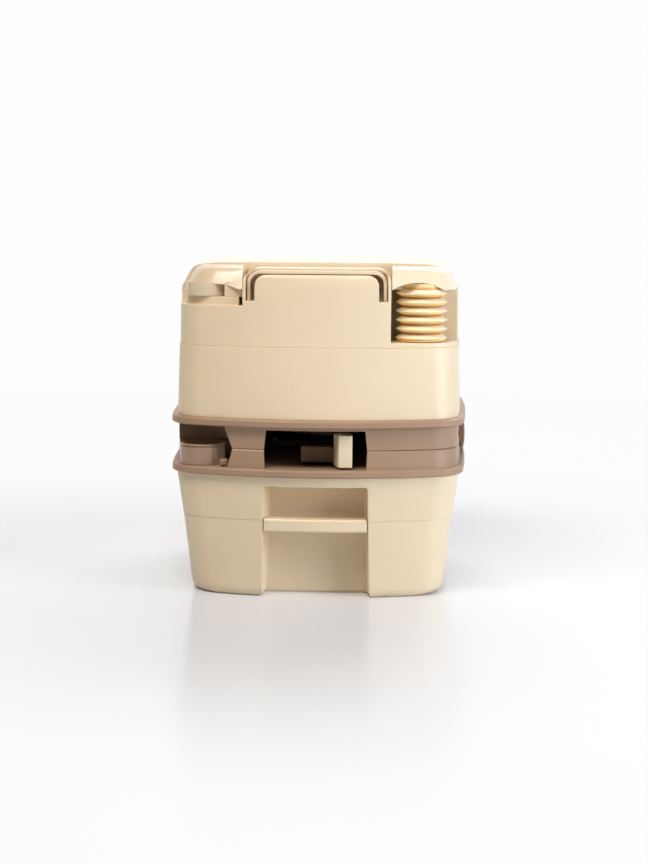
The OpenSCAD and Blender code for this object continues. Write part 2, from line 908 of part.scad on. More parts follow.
// The upper part's outer form, with the front plate and the cheeks carried on up to its bevelled top
module top_form() {
    intersection() {
        loft([
            [step_z, shell_step_inset + step_ledge, corner_r],
            [rim_z, shell_top_inset, corner_r],
            [plate_z - 6, shell_top_inset + 0.6, corner_r],
            [plate_z - 1.8, shell_top_inset + 2.2, corner_r],
            [plate_z, shell_top_inset + 4.6, corner_r]]);
        union() {
            box([-far, -far, 0], [far, far, rim_z - rest_gap]);
            along_y(-flange_d, flange_d + strap_front - move_gap)
                arch(plate_half, shelf_z, plate_z, plate_r);
            along_y(-flange_d, flange_d + strap_back + move_gap)
                difference() {
                    arch(block_half, shelf_z, housing_z, strap_r + 2);
                    translate([-groove_half, shelf_z - 1])
                        square([2 * groove_half, housing_z]);
                }
        }
    }
}

// The raised housing behind the strap, with a seat for the strap in its front wall
module block_housing() {
    housing_front = strap_back + move_gap;
    front_t = wall_t + strap_seat_d;
    intersection() {
        loft([
            [shelf_z, shell_top_inset, corner_r],
            [housing_z, shell_top_inset, corner_r]]);
        along_y(housing_front, zone_front - 1 - housing_front)
            difference() {
                arch(block_half, shelf_z, housing_z, strap_r + 2);
                arch(block_half - wall_t, shelf_z - 1, housing_z - wall_t, strap_r + 2 - wall_t);
            }
    }
    difference() {
        along_y(housing_front, front_t)
            arch(block_half, shelf_z, housing_z, strap_r + 2);
        along_y(housing_front - 1, strap_seat_d + 1)
            arch(groove_half, seat_deck_z + 2, strap_z + strap_gap, strap_r + strap_gap);
    }
    along_y(zone_front - 1 - wall_t, wall_t)
        arch(block_half, shelf_z, housing_z, strap_r + 2);
}

// The domed form of the lid and the two corner caps, drawn in and down by less
module crown_form(less, drawn_in = 0) {
    loft([for (v = crown_levels) [cap_z + v[0] - less, shell_top_inset + v[1] + less + drawn_in, corner_r]]);
}

module leg_slots(more) {
    slot_floor = seat_deck_z - leg_len - 3;
    throat = slot_floor + strap_travel + nib * 2 + 1.5;
    for (side = [-1, 1]) {
        low_x = side * (strap_inner - nib - 0.4 - more);
        mid_x = side * (strap_inner - 0.4 - more);
        high_x = side * (strap_half + 0.4 + more);
        box([min(low_x, high_x), strap_front - 0.4 - more, slot_floor - more],
            [max(low_x, high_x), strap_back + 0.4 + more, throat + more]);
        box([min(mid_x, high_x), strap_front - 0.4 - more, throat - 1],
            [max(mid_x, high_x), strap_back + 0.4 + more, seat_deck_z + 3]);
    }
}

module water_space() {
    difference() {
        loft([
            [step_z - 1, shell_step_inset + wall_t, corner_r],
            [seat_deck_z - wall_t, shell_top_inset + wall_t, corner_r]]);
        box([block_half - wall_t, -far, well_z - wall_t], [far, zone_front + wall_t, rim_z]);
        box([-far, -far, shelf_z - wall_t], [-block_half + wall_t, zone_front + wall_t, rim_z]);
        leg_slots(wall_t);
    }
    box([-block_half + wall_t, strap_back + move_gap + strap_seat_d + wall_t, seat_deck_z - wall_t - 1],
        [block_half - wall_t, zone_front - wall_t - 1, seat_deck_z + 20]);
}

module hinge_ears() {
    gap = 0.5;
    outer = hinge_x + ear_w + 2 * barrel_w + 3 * gap;
    both_sides()
        for (x = [hinge_x, outer])
            along_x(x, ear_w)
                difference() {
                    union() {
                        translate([hinge_y, hinge_z])
                            circle(r = barrel_r, $fn = round_fn);
                        translate([hinge_y - barrel_r, seat_deck_z - 1])
                            square([2 * barrel_r, hinge_z - seat_deck_z + 1]);
                    }
                    translate([hinge_y, hinge_z])
                        circle(r = hinge_pin_r + pin_play, $fn = round_fn);
                }
}

module flush_tank() {
    color(cream)
        difference() {
            loft([
                [shell_z, shell_foot_inset, corner_r],
                [step_z, shell_step_inset - step_ledge, corner_r]]);
            loft([
                [shell_z - 1, shell_foot_inset + wall_t, corner_r],
                [step_z + 1, shell_step_inset + wall_t, corner_r]]);
        }
}

module tank_top() {
    plate_back = strap_front - move_gap;
    housing_front = strap_back + move_gap;
    color(cream) {
        difference() {
            union() {
                top_form();
                block_housing();
            }
            water_space();
            leg_slots(0);
            box([-groove_half, plate_back, seat_deck_z + 2], [groove_half, housing_front, crown_z]);
            for (from = [-groove_half, plate_half])
                box([from, -far, seat_deck_z + 2], [from + groove_half - plate_half, housing_front, crown_z]);
            box([block_half, -far, well_z], [far, zone_front, crown_z]);
            box([-far, -far, shelf_z], [-block_half, zone_front, crown_z]);
            intersection() {
                plan_prism(shell_top_inset + wall_t, seat_deck_z, crown_z);
                box([-far, zone_front + wall_t, seat_deck_z - 1], [far, far, crown_z + 1]);
            }
            skin([
                lift(oval(bowl_half_w + 1, bowl_half_l + 1, seat_y, bowl_steps), seat_deck_z - 8),
                lift(oval(bowl_half_w + 1, bowl_half_l + 1, seat_y, bowl_steps), seat_deck_z + 8)]);
            at_filler()
                translate([0, 0, shelf_z - 10])
                    cylinder(r = neck_r - neck_t, h = 30, $fn = round_fn);
            at_pump()
                translate([0, 0, well_z - 10])
                    cylinder(r = spigot_r + 0.4, h = 30, $fn = small_fn);
            box([pump_x + 24, zone_front - 1, well_z + 2], [pump_x + 29, zone_front + wall_t + 1, well_z + 4]);
        }
        difference() {
            plan_prism(pad_inset, shelf_z - tiny, shelf_z + pad_h);
            box([-block_half - 5, -far, shelf_z - 1], [far, far, rim_z]);
            box([-far, zone_front - 1.5, shelf_z - 1], [far, far, rim_z]);
            at_filler()
                cylinder(r = neck_r - neck_t, h = rim_z, $fn = round_fn);
        }
        hinge_ears();
    }
}

module filler_neck() {
    low = shelf_z + pad_h;
    color(cream)
        at_filler()
            difference() {
                union() {
                    ring(neck_r, neck_r - neck_t, low, low + neck_h);
                    for (z = [low + 1.4:2.2:low + neck_h - 1.2])
                        ring(neck_r + 0.8, neck_r - 1, z, z + 0.9);
                }
            }
}

module filler_seal() {
    color(rubber)
        at_filler()
            ring(neck_r - 0.3, neck_r - neck_t, neck_z, neck_z + 1.6);
}

module pump_base() {
    color(cream)
        at_pump()
            difference() {
                union() {
                    ring(bellows_root_r - 4.5, spigot_r - 0.6, well_z, well_z + pump_base_h);
                    ring(spigot_r, spigot_bore_r, well_z - spigot_l, well_z + pump_base_h);
                }
                translate([0, 0, well_z - spigot_l - 1])
                    cylinder(r = spigot_bore_r, h = spigot_l + pump_base_h + 2, $fn = small_fn);
            }
}

// The tube runs level from the pump's foot to the bowl, then up its wall
module water_tube() {
    low = well_z - spigot_l - tube_low;
    color([0.85, 0.85, 0.85])
        difference() {
            union() {
                at_pump()
                    translate([0, 0, low])
                        cylinder(r = tube_r, h = tube_low - rest_gap, $fn = small_fn);
                at_pump()
                    translate([0, 0, low])
                        sphere(r = tube_r, $fn = small_fn);
                translate([pump_x, -pump_y, low])
                    rotate([-90, 0, 0])
                        cylinder(r = tube_r, h = pump_y + nozzle_y, $fn = small_fn);
                translate([pump_x, nozzle_y, low])
                    sphere(r = tube_r, $fn = small_fn);
                translate([pump_x, nozzle_y, low])
                    cylinder(r = tube_r, h = seat_deck_z - nozzle_d - low - tube_r, $fn = small_fn);
            }
            at_pump()
                translate([0, 0, low + 2])
                    cylinder(r = 3, h = tube_low, $fn = small_fn);
        }
}

module flush_nozzle() {
    z = seat_deck_z - nozzle_d;
    color(cream)
        translate([0, nozzle_y, 0])
            difference() {
                union() {
                    translate([pump_x, 0, z - 4.2])
                        cylinder(r = 6, h = 10, $fn = small_fn);
                    translate([bowl_half_w + 1.2, -4, z - 3])
                        cube([pump_x - bowl_half_w - 1.2, 8, 6]);
                }
                translate([pump_x, 0, z - 5])
                    cylinder(r = 4.6, h = 1.1, $fn = small_fn);
            }
}

module hinge_pins() {
    color(steel)
        both_sides()
            translate([hinge_x, hinge_y, hinge_z])
                rotate([0, 90, 0])
                    cylinder(r = hinge_pin_r, h = 2 * ear_w + 2 * barrel_w + 1.5, $fn = round_fn);
}

module hinge_barrel(from) {
    along_x(from, barrel_w)
        difference() {
            union() {
                translate([hinge_y, hinge_z])
                    circle(r = barrel_r, $fn = round_fn);
                children();
            }
            translate([hinge_y, hinge_z])
                circle(r = hinge_pin_r + pin_play, $fn = round_fn);
        }
}

module seat() {
    inset = shell_top_inset + wall_t + 2.3;
    front = zone_front + wall_t + 2;
    back = hinge_y - 19;
    top = seat_z + seat_t;
    seat_barrel = hinge_x + ear_w + barrel_w + 1;
    color(cream) {
        difference() {
            intersection() {
                loft([
                    [seat_z, inset, corner_r],
                    [seat_z + seat_t * 0.6, inset, corner_r],
                    [seat_z + seat_t * 0.9, inset + 3, corner_r],
                    [top, inset + 8, corner_r]]);
                box([-far, front, 0], [far, back, far * 2]);
            }
            skin([
                lift(oval(seat_half_w + 3, seat_half_l + 3, seat_y, bowl_steps), seat_z - 1),
                lift(oval(seat_half_w, seat_half_l, seat_y, bowl_steps), seat_z + seat_t * 0.4),
                lift(oval(seat_half_w + 2, seat_half_l + 2, seat_y, bowl_steps), top - 2.5),
                lift(oval(seat_half_w + 9, seat_half_l + 9, seat_y, bowl_steps), top + 1)]);
        }
        both_sides()
            hinge_barrel(seat_barrel)
                polygon([
                    [back - 6, seat_z + 1],
                    [back + 3, seat_z + 1],
                    [hinge_y - 1, hinge_z - barrel_r + 0.3],
                    [hinge_y - 3, hinge_z + 4],
                    [back - 6, seat_z + 9]]);
    }
}

module seat_bumpers() {
    color(rubber)
        both_sides()
            for (y = [zone_front + 16, hinge_y - 34])
                translate([bowl_half_w + 22, y, seat_deck_z + tiny])
                    cylinder(r1 = 6, r2 = 7, h = bumper_h - 2 * tiny, $fn = small_fn);
}

module lid() {
    front = zone_front + 1;
    back = hinge_y - 14;
    lid_barrel = hinge_x + ear_w + 0.5;
    seat_barrel = lid_barrel + barrel_w + 0.5;
    color(cream) {
        difference() {
            intersection() {
                crown_form(0);
                box([-far, front, 0], [far, back, 2 * far]);
            }
            intersection() {
                crown_form(wall_t);
                box([-far, front + wall_t, 0], [far, back - wall_t, 2 * far]);
            }
            both_sides()
                box([seat_barrel - 1, back - wall_t - 2, 0],
                    [seat_barrel + barrel_w + 1, back + 1, hinge_z + barrel_r + 1]);
        }
        both_sides()
            hinge_barrel(lid_barrel)
                polygon([
                    [back - 1, hinge_z - 5],
                    [hinge_y, hinge_z - barrel_r + 0.4],
                    [hinge_y, hinge_z + barrel_r - 0.1],
                    [back - 1, hinge_z + 9]]);
    }
}

module lid_bumpers() {
    low = seat_z + seat_t + tiny;
    color(rubber)
        both_sides()
            for (y = [zone_front + 18, hinge_y - 40])
                translate([bowl_half_w + 12, y, low])
                    cylinder(r1 = 5, r2 = 6, h = cap_z + crown_h * 0.8 - wall_t - low, $fn = small_fn);
}

// A corner cap with a shallow arch of the given rise in its front edge
module corner_cap(from, to, side, rise, drawn_in) {
    difference() {
        intersection() {
            crown_form(0, drawn_in);
            box([from, -far, 0], [to, zone_front - 2, cap_z + crown_h * 0.9]);
        }
        along_y(-flange_d, flange_d / 2 + notch_depth)
            translate([side * (flange_w / 2 - notch_side), cap_z + rise - notch_r])
                circle(r = notch_r, $fn = 2 * round_fn);
        children();
    }
}

module fill_cap() {
    color(cream) {
        corner_cap(-far, -block_half - 1, -1, filler_notch, filler_cap_inset)
            at_filler()
                translate([0, 0, cap_z - 1])
                    cylinder(r = neck_r + 4, h = 2.6, $fn = round_fn);
        at_filler()
            ring(neck_r + 4.2, neck_r + 1.2, neck_z - neck_h + rest_gap, cap_z + filler_notch + 1.5);
    }
}

module pump_cap() {
    color(cream) {
        corner_cap(block_half + 1, far, 1, pump_notch, 0);
        at_pump() {
            ring(bellows_root_r - 4, bellows_root_r - 8, well_z + pump_base_h + pump_travel + 1, cap_z + 2);
            ring(bellows_root_r, bellows_root_r - 1.5, cap_z, cap_z + pump_notch + 1.5);
        }
    }
}

// The folds are a zigzag wall between the root and tip radii
module bellows() {
    pitch = (last_tip - first_tip) / (folds - 1);
    outer = concat(
        [[bellows_tip_r - 3, bellows_z]],
        [for (i = [0:folds - 1]) each [
            [bellows_tip_r - 0.6, first_tip + pitch * i - 0.9],
            [bellows_tip_r, first_tip + pitch * i],
            [bellows_tip_r - 0.6, first_tip + pitch * i + 0.9],
            [bellows_root_r, i < folds - 1 ? first_tip + pitch * (i + 0.5) : last_tip + 3.5]]],
        [[bellows_root_r, bellows_top]]);
    color([0.95, 0.83, 0.62])
        at_pump()
            rotate_extrude($fn = round_fn)
                polygon(concat(outer, [for (i = [len(outer) - 1:-1:0])
                    [outer[i][0] - bellows_t - 1, outer[i][1]]]));
}

module carry_handle() {
    low = seat_deck_z - leg_len;
    color(cream) {
        along_y(strap_front, strap_w)
            difference() {
                arch(strap_half, low, strap_z, strap_r);
                arch(strap_inner, low - 1, strap_z - strap_t, strap_r - strap_t);
            }
        for (side = [-1, 1])
            translate([side * (strap_inner - nib / 2 + tiny) - nib / 2, strap_front + 2, low])
                cube([nib, strap_w - 4, nib]);
    }
}

module spout_cap() {
    low = deck_z + rest_gap;
    top = low + spout_cap_h;
    r = spout_cap_r;
    bore = spout_bore_r + spout_t + rest_gap;
    color(brown)
        at_spout()
            rotate_extrude($fn = 96)
                polygon([
                    [bore, low],
                    [r, low],
                    [r, top - 3.8],
                    [r - cap_groove_d, top - 3.6],
                    [r - cap_groove_d, top - 2.2],
                    [r, top - 2],
                    [r, top - 0.8],
                    [r - 0.8, top],
                    [r - 3, top],
                    [r - 5, top - 1.4],
                    [0, top - 2.2],
                    [0, top - 4.6],
                    [bore, spout_top + 2 + rest_gap]]);
}

module vent_button() {
    head_z = deck_z + button_travel + 0.2;
    color(brown)
        translate([button_x, button_y, 0])
            rotate_extrude($fn = round_fn)
                polygon([
                    [0, deck_z - deck_t - 4],
                    [button_stem_r + 1.4, deck_z - deck_t - 4],
                    [button_stem_r + 1.4, deck_z - deck_t - rest_gap],
                    [button_stem_r, deck_z - deck_t - rest_gap],
                    [button_stem_r, head_z],
                    [button_r, head_z],
                    [button_r, head_z + button_h - 1],
                    [button_r - 1, head_z + button_h],
                    [button_r - 2, head_z + button_h],
                    [0, head_z + button_h - 0.8]]);
}

waste_tank();
tank_handle();
waste_deck();
spout_seal();
valve_body();
valve_screws();
valve_seal();
latch_pins();
flush_base();
bowl_seal();
flush_tank();
tank_top();
bowl();
filler_neck();
filler_seal();
pump_base();
water_tube();
flush_nozzle();
hinge_pins();
seat();
seat_bumpers();
lid();
lid_bumpers();
fill_cap();
pump_cap();
bellows();
carry_handle();
latch_left();
latch_right();
valve_blade();
valve_rod();
valve_grip();
spout_cap();
vent_button();
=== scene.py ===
import math

import bmesh
import bpy
from mathutils import Matrix, Vector


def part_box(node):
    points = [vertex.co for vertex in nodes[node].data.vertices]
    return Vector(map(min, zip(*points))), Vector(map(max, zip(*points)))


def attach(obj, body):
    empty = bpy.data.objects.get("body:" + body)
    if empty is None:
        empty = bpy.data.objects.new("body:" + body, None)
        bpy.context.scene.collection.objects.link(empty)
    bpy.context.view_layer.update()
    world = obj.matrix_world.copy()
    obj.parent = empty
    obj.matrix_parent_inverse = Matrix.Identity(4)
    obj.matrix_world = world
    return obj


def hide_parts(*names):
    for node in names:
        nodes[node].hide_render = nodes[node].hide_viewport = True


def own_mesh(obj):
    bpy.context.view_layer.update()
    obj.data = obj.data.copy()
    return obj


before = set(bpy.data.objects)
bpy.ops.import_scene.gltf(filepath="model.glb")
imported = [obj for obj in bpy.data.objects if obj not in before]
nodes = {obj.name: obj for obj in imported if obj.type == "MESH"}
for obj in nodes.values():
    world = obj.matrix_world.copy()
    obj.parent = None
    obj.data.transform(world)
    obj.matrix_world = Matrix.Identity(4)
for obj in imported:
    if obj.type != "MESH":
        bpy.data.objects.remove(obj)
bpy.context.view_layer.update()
print("stage: frame loaded,", len(nodes), "nodes")


class Sock:
    # One socket of a shader; an expression on sockets and numbers adds Math nodes
    def __init__(self, graph, socket):
        self.graph = graph
        self.socket = socket

    def math(self, operation, first, second):
        return self.graph.node("ShaderNodeMath", {"operation": operation}, [first, second])

    def __add__(self, other):
        return self.math("ADD", self, other)

    def __radd__(self, other):
        return self.math("ADD", other, self)

    def __sub__(self, other):
        return self.math("SUBTRACT", self, other)

    def __rsub__(self, other):
        return self.math("SUBTRACT", other, self)

    def __mul__(self, other):
        return self.math("MULTIPLY", self, other)

    def __rmul__(self, other):
        return self.math("MULTIPLY", other, self)

    def __truediv__(self, other):
        return self.math("DIVIDE", self, other)

    def __rtruediv__(self, other):
        return self.math("DIVIDE", other, self)


class Graph:
    # The shader nodes of a material or of the world
    def __init__(self, owner):
        owner.use_nodes = True
        self.owner = owner
        self.tree = owner.node_tree
        self.tree.nodes.clear()

    def node(self, kind, settings, values, output=0):
        made = self.tree.nodes.new(kind)
        for key, value in settings.items():
            if key == "stops":
                self.setStops(made.color_ramp.elements, value)
            else:
                setattr(made, key, value)
        pairs = values.items() if isinstance(values, dict) else enumerate(values)
        for key, value in pairs:
            if isinstance(value, Sock):
                self.tree.links.new(value.socket, made.inputs[key])
            else:
                made.inputs[key].default_value = value
        return Sock(self, made.outputs[output])

    def setStops(self, elements, stops):
        # A new ramp has two stops already
        for index, (position, color) in enumerate(stops):
            stop = elements[index] if index < 2 else elements.new(position)
            stop.position = position
            stop.color = color

    def place(self):
        return self.node("ShaderNodeTexCoord", {}, {}, "Object")

    def axis(self, index):
        return self.node("ShaderNodeSeparateXYZ", {}, [self.place()], index)

    def noise(self, scale, detail=3, rough=0.55, stretch=(1, 1, 1), shift=(0, 0, 0)):
        place = self.node("ShaderNodeMapping", {}, {
            "Vector": self.place(), "Scale": stretch, "Location": shift})
        return self.node("ShaderNodeTexNoise", {}, {
            "Vector": place, "Scale": scale, "Detail": detail, "Roughness": rough})

    def between(self, value, low, high):
        # Rises smoothly from 0 at low to 1 at high
        return self.node("ShaderNodeMapRange", {"interpolation_type": "SMOOTHSTEP"}, [value, low, high])

    def mix(self, factor, first, second):
        # Colour sockets of a Mix node are its seventh and eighth inputs, and its third output
        return self.node("ShaderNodeMix", {"data_type": "RGBA"}, {0: factor, 6: first, 7: second}, 2)

    def softEdge(self, radius):
        # Normals that round off the corners of a moulding
        return self.node("ShaderNodeBevel", {"samples": 4}, {"Radius": radius})

    def bump(self, strength, deep, height, normal=None):
        values = {"Strength": strength, "Distance": deep, "Height": height}
        if normal:
            values["Normal"] = normal
        return self.node("ShaderNodeBump", {}, values)

    def shown(self, *kinds):
        # 1 in rays of any of these kinds, 0 in others
        rays = [self.node("ShaderNodeLightPath", {}, {}, kind) for kind in kinds]
        return self.node("ShaderNodeClamp", {}, [sum(rays[1:], rays[0])])

    def principled(self, values):
        return self.finish(self.node("ShaderNodeBsdfPrincipled", {}, values))

    def finish(self, shader):
        isWorld = isinstance(self.owner, bpy.types.World)
        output = self.tree.nodes.new("ShaderNodeOutputWorld" if isWorld else "ShaderNodeOutputMaterial")
        self.tree.links.new(shader.socket, output.inputs["Surface"])
        return self.owner


def newGraph(name):
    return Graph(bpy.data.materials.new(name))


def linear(red, green, blue, alpha=1.0):
    # A screen colour of 0 to 255 as the linear colour that nodes take
    parts = [value / 255 for value in (red, green, blue)]
    parts = [value / 12.92 if value <= 0.04045 else ((value + 0.055) / 1.055) ** 2.4 for value in parts]
    return (*parts, alpha)


def scaled(color, by):
    return (*[channel * by for channel in color[:3]], color[3])


# What the plastics share; a finish below changes only what it needs
plasticBase = {
    "variation": 0.05, "paleShare": 0.4, "speckle": 0.14, "speckleShade": 0.82,
    "wear": 0.22, "dirt": 0.05, "dirtColor": linear(120, 104, 84),
    "rough": 0.44, "roughSwing": 0.10, "scuffRough": 0.08, "speckleRough": 0.06, "dirtRough": 0.2,
    "cloudScale": 7, "speckleScale": 260, "grainScale": 820, "flowScale": 26, "scuffScale": 34,
    "patchScale": 9, "dirtScale": 40,
    # Where on its noise a mark starts and is full, and from which height down the foot is dirty
    "cloudRange": (0.3, 0.7), "speckleRange": (0.35, 0.75), "scuffRange": (0.62, 0.74),
    "patchRange": (0.45, 0.7), "dirtRange": (0.35, 0.7), "footRange": (0.03, 0.0),
    "bump": 0.24, "bumpDeep": 0.0004, "grain": 0.5, "sink": 0.5, "edge": 0.0013,
    "specular": 0.5, "coat": 0.0, "coatRough": 0.2,
    "soft": 0.0, "softRadius": (0.005, 0.0045, 0.004), "clear": 0.0}

plasticLooks = {
    "creamShell": {
        "color": linear(240, 218, 184), "wearColor": linear(243, 226, 200), "variation": 0.03,
        "speckle": 0.08, "wear": 0.12, "dirt": 0.06, "rough": 0.38, "grainScale": 900, "bump": 0.18,
        "edge": 0.0020, "soft": 0.12},
    "creamGloss": {
        "color": linear(242, 221, 190), "wearColor": linear(245, 230, 206), "variation": 0.025,
        "speckle": 0.05, "wear": 0.10, "dirt": 0.0, "rough": 0.26, "roughSwing": 0.08,
        "scuffRough": 0.0, "speckleRough": 0.0, "grainScale": 700, "bump": 0.08, "sink": 0.35,
        "edge": 0.0014, "coat": 0.35, "coatRough": 0.12, "soft": 0.12},
    "brownMoulding": {
        "color": linear(170, 138, 111), "wearColor": linear(186, 158, 132)},
    "brownGloss": {
        "color": linear(162, 130, 102), "wearColor": linear(186, 158, 132), "speckle": 0.10,
        "dirt": 0.0, "rough": 0.40, "roughSwing": 0.08, "bump": 0.12, "edge": 0.0010,
        "coat": 0.8, "coatRough": 0.10},
    # The valve rod's brown moulding, darkened with painted shade of the valve window
    "rodMouldingPaintedShade": {
        "color": linear(124, 96, 66), "wearColor": linear(150, 122, 92), "rough": 0.5,
        "edge": 0.0010, "specular": 0.4},
    # Brown made near black: painted shade of the deep valve window on the valve body and blade
    "darkMouldingPaintedShade": {
        "color": linear(62, 46, 36), "wearColor": linear(126, 104, 86), "variation": 0.08,
        "speckle": 0.2, "wear": 0.3, "dirt": 0.3, "rough": 0.5, "roughSwing": 0.16,
        "grainScale": 760, "bump": 0.35, "sink": 0.8, "edge": 0.0006, "specular": 0.4},
    "sealRubber": {
        "color": linear(44, 43, 42), "wearColor": linear(92, 90, 86), "variation": 0.1,
        "speckle": 0.3, "wear": 0.4, "dirt": 0.0, "rough": 0.68, "roughSwing": 0.2,
        "grainScale": 1100, "bump": 0.5, "edge": 0.0004, "specular": 0.35},
}
# The filler cap lets a little of what is behind it through
plasticLooks["creamClear"] = {**plasticLooks["creamGloss"], "color": linear(240, 217, 186), "clear": 0.10}


def mouldedPlastic(name, look):
    graph = newGraph(name)
    cloud = graph.noise(look["cloudScale"])
    speckle = graph.noise(look["speckleScale"], 2, 0.7)
    grain = graph.noise(look["grainScale"], 3, 0.6)
    flow = graph.noise(look["flowScale"], 4, 0.5, stretch=(1, 1, 0.25), shift=(3, 1, 2))
    scuffLines = graph.noise(look["scuffScale"], 5, 0.75, stretch=(1, 1, 7), shift=(5, 0, 3))
    patches = graph.noise(look["patchScale"], 2)
    scuff = graph.between(scuffLines, *look["scuffRange"]) * graph.between(patches, *look["patchRange"])
    stains = graph.between(graph.noise(look["dirtScale"], 4), *look["dirtRange"])
    foot = graph.between(graph.axis(2), *look["footRange"]) * stains

    color = look["color"]
    dull = scaled(color, 1 - look["variation"])
    pale = scaled(color, 1 + look["variation"] * look["paleShare"])
    dots = graph.between(speckle, *look["speckleRange"]) * look["speckle"]
    base = graph.mix(graph.between(cloud, *look["cloudRange"]), dull, pale)
    base = graph.mix(dots, base, scaled(color, look["speckleShade"]))
    base = graph.mix(scuff * look["wear"], base, look["wearColor"])
    base = graph.mix(foot * look["dirt"], base, look["dirtColor"])

    rough = look["rough"] + (cloud - 0.5) * look["roughSwing"] + foot * look["dirtRough"]
    rough = rough + scuff * look["scuffRough"] + (speckle - 0.5) * look["speckleRough"]
    height = grain * look["grain"] + flow * look["sink"]
    return graph.principled({
        "Base Color": base, "Roughness": rough, "IOR": 1.5, "Specular IOR Level": look["specular"],
        "Normal": graph.bump(look["bump"], look["bumpDeep"], height, graph.softEdge(look["edge"])),
        "Coat Weight": look["coat"], "Coat Roughness": look["coatRough"],
        "Subsurface Weight": look["soft"], "Subsurface Radius": look["softRadius"],
        "Subsurface Scale": 1.0, "Alpha": 1.0 - look["clear"]})


steelLook = {
    "color": linear(176, 178, 182), "tarnish": linear(122, 112, 100), "tarnishMost": 0.6, "rough": 0.28,
    "brushScale": 300, "brushRough": 0.2, "stainScale": 120, "stainRange": (0.5, 0.8), "stainRough": 0.15,
    "bump": 0.2, "bumpDeep": 0.0002, "edge": 0.0003}


def brushedSteel(look):
    graph = newGraph("screwSteel")
    stain = graph.between(graph.noise(look["stainScale"], 4), *look["stainRange"])
    brush = graph.noise(look["brushScale"], 3, 0.6, stretch=(1, 1, 14))
    return graph.principled({
        "Base Color": graph.mix(stain * look["tarnishMost"], look["color"], look["tarnish"]), "Metallic": 1.0,
        "Roughness": look["rough"] + brush * look["brushRough"] + stain * look["stainRough"],
        "Normal": graph.bump(look["bump"], look["bumpDeep"], brush, graph.softEdge(look["edge"]))})


tubeLook = {
    "color": linear(226, 226, 220), "filmColor": linear(196, 190, 170), "filmMost": 0.4, "rough": 0.2,
    "hazeScale": 90, "hazeRough": 0.15, "filmScale": 30, "filmRange": (0.5, 0.8), "filmRough": 0.2,
    "bump": 0.15, "bumpDeep": 0.0003, "transmission": 0.5, "bend": 1.42}


def clearTube(look):
    graph = newGraph("clearTube")
    haze = graph.noise(look["hazeScale"], 4)
    streaks = graph.noise(look["filmScale"], 3, 0.6, stretch=(1, 0.3, 1))
    film = graph.between(streaks, *look["filmRange"])
    return graph.principled({
        "Base Color": graph.mix(film * look["filmMost"], look["color"], look["filmColor"]),
        "Roughness": look["rough"] + haze * look["hazeRough"] + film * look["filmRough"],
        "Normal": graph.bump(look["bump"], look["bumpDeep"], haze),
        "Transmission Weight": look["transmission"], "IOR": look["bend"]})


materials = {name: mouldedPlastic(name, {**plasticBase, **look}) for name, look in plasticLooks.items()}
materials["screwSteel"] = brushedSteel(steelLook)
materials["clearTube"] = clearTube(tubeLook)

# The CAD nodes of each finish
finishes = {
    "creamShell": ["waste_tank", "tank_handle", "flush_tank", "tank_top", "filler_neck", "pump_base",
                   "flush_nozzle", "valve_grip"],
    "creamGloss": ["bowl", "seat", "lid", "pump_cap", "carry_handle"],
    "creamClear": ["fill_cap"],
    "brownMoulding": ["waste_deck", "flush_base", "latch_left", "latch_right", "vent_button"],
    "brownGloss": ["spout_cap"],
    # Valve rod: brown moulding darkened with painted shade of the valve window
    "rodMouldingPaintedShade": ["valve_rod"],
    # Valve body and blade: near-black painted shade of the valve window
    "darkMouldingPaintedShade": ["valve_body", "valve_blade"],
    "sealRubber": ["spout_seal", "valve_seal", "bowl_seal", "filler_seal", "seat_bumpers", "lid_bumpers"],
    "screwSteel": ["valve_screws", "latch_pins", "hinge_pins"],
    "clearTube": ["water_tube"],
}
# Angles in degrees past which an edge is a corner, and under which two faces are one; join is in metres
smoothing = {"nodeCorner": 32, "pieceCorner": 40, "flat": 0.4, "join": 1e-6}


def smoothNode(node):
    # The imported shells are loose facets: they are joined, and only true corners stay sharp
    mesh = node.data
    if mesh.has_custom_normals:
        mesh.attributes.remove(mesh.attributes["custom_normal"])
    mesh.shade_smooth()
    weld = node.modifiers.new("join", "WELD")
    weld.merge_threshold = smoothing["join"]
    flat = node.modifiers.new("flat", "DECIMATE")
    flat.decimate_type = "DISSOLVE"
    flat.angle_limit = math.radians(smoothing["flat"])
    split = node.modifiers.new("corners", "EDGE_SPLIT")
    split.split_angle = math.radians(smoothing["nodeCorner"])
    split.use_edge_sharp = False
    weighted = node.modifiers.new("normals", "WEIGHTED_NORMAL")
    weighted.mode = "FACE_AREA_WITH_ANGLE"
    weighted.keep_sharp = False


for finish, names in finishes.items():
    for name in names:
        nodes[name].data.materials.clear()
        nodes[name].data.materials.append(materials[finish])
        smoothNode(nodes[name])
print("stage: CAD nodes finished")


def newPiece(name, body, build, material, corner=smoothing["pieceCorner"]):
    bm = bmesh.new()
    build(bm)
    bmesh.ops.remove_doubles(bm, verts=bm.verts[:], dist=smoothing["join"])
    bmesh.ops.recalc_face_normals(bm, faces=bm.faces[:])
    mesh = bpy.data.meshes.new(name)
    bm.to_mesh(mesh)
    bm.free()
    mesh.shade_smooth()
    mesh.set_sharp_from_angle(angle=math.radians(corner))
    mesh.materials.append(material)
    piece = bpy.data.objects.new(name, mesh)
    bpy.context.scene.collection.objects.link(piece)
    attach(piece, body)
    return piece


